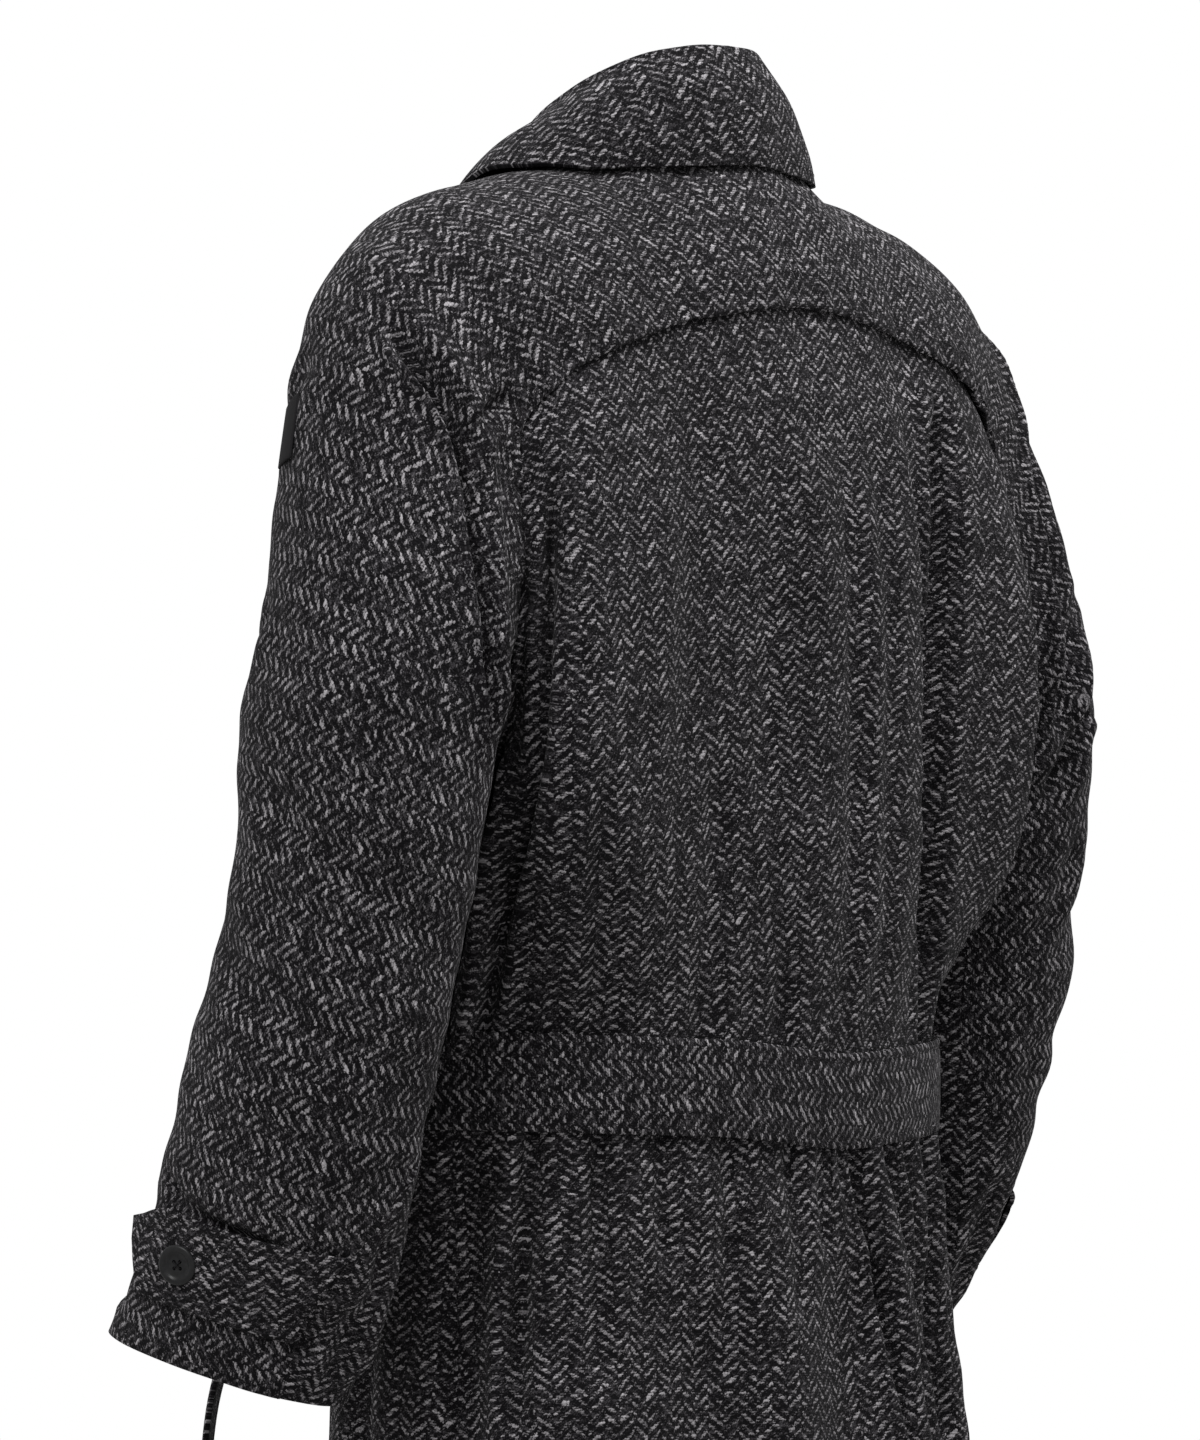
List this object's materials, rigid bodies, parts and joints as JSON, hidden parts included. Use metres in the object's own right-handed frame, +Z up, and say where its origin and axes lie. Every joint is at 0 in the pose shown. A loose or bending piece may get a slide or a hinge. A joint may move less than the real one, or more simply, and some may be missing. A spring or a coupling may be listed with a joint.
{
  "type": "balmacaan coat",
  "caption": "Belted raglan balmacaan coat in grey and black herringbone tweed, hollow as worn, with a turned collar, arched back yoke, buttoned cuff straps and open neck, hem and cuffs.",
  "frame": {"origin": "the nape, at the middle of the back neck seam's height on the neck's axis, where the wearer's shoulders hold the coat", "axes": "+Z up, -Y the way the wearer faces, +X the wearer's left"},
  "size_m": [0.734, 0.4244, 1.1754],
  "materials": {
    "tweed": "coarse fuzzy herringbone wool tweed, light grey yarn on near-black",
    "horn_button": "dark grey horn-effect, satin",
    "buckle": "plain black leather-covered frame",
    "patch": "bare dark woven tab with tweed showing under it"
  },
  "bodies": {
    "root": {"back_left": "tweed", "back_right": "tweed", "front_left": "tweed", "front_right": "tweed", "yoke_top_sleeve_left": "tweed", "yoke_top_sleeve_right": "tweed", "under_sleeve_left": "tweed", "under_sleeve_right": "tweed", "collar": "tweed", "belt": "tweed", "belt_end": "tweed", "cuff_strap_left": "tweed", "cuff_strap_right": "tweed", "cuff_button_left": "horn_button", "cuff_button_right": "horn_button", "front_button_1": "horn_button", "front_button_2": "horn_button", "front_button_3": "horn_button", "front_button_4": "horn_button", "belt_buckle": "buckle", "sleeve_patch": "patch"}
  },
  "joints": []
}
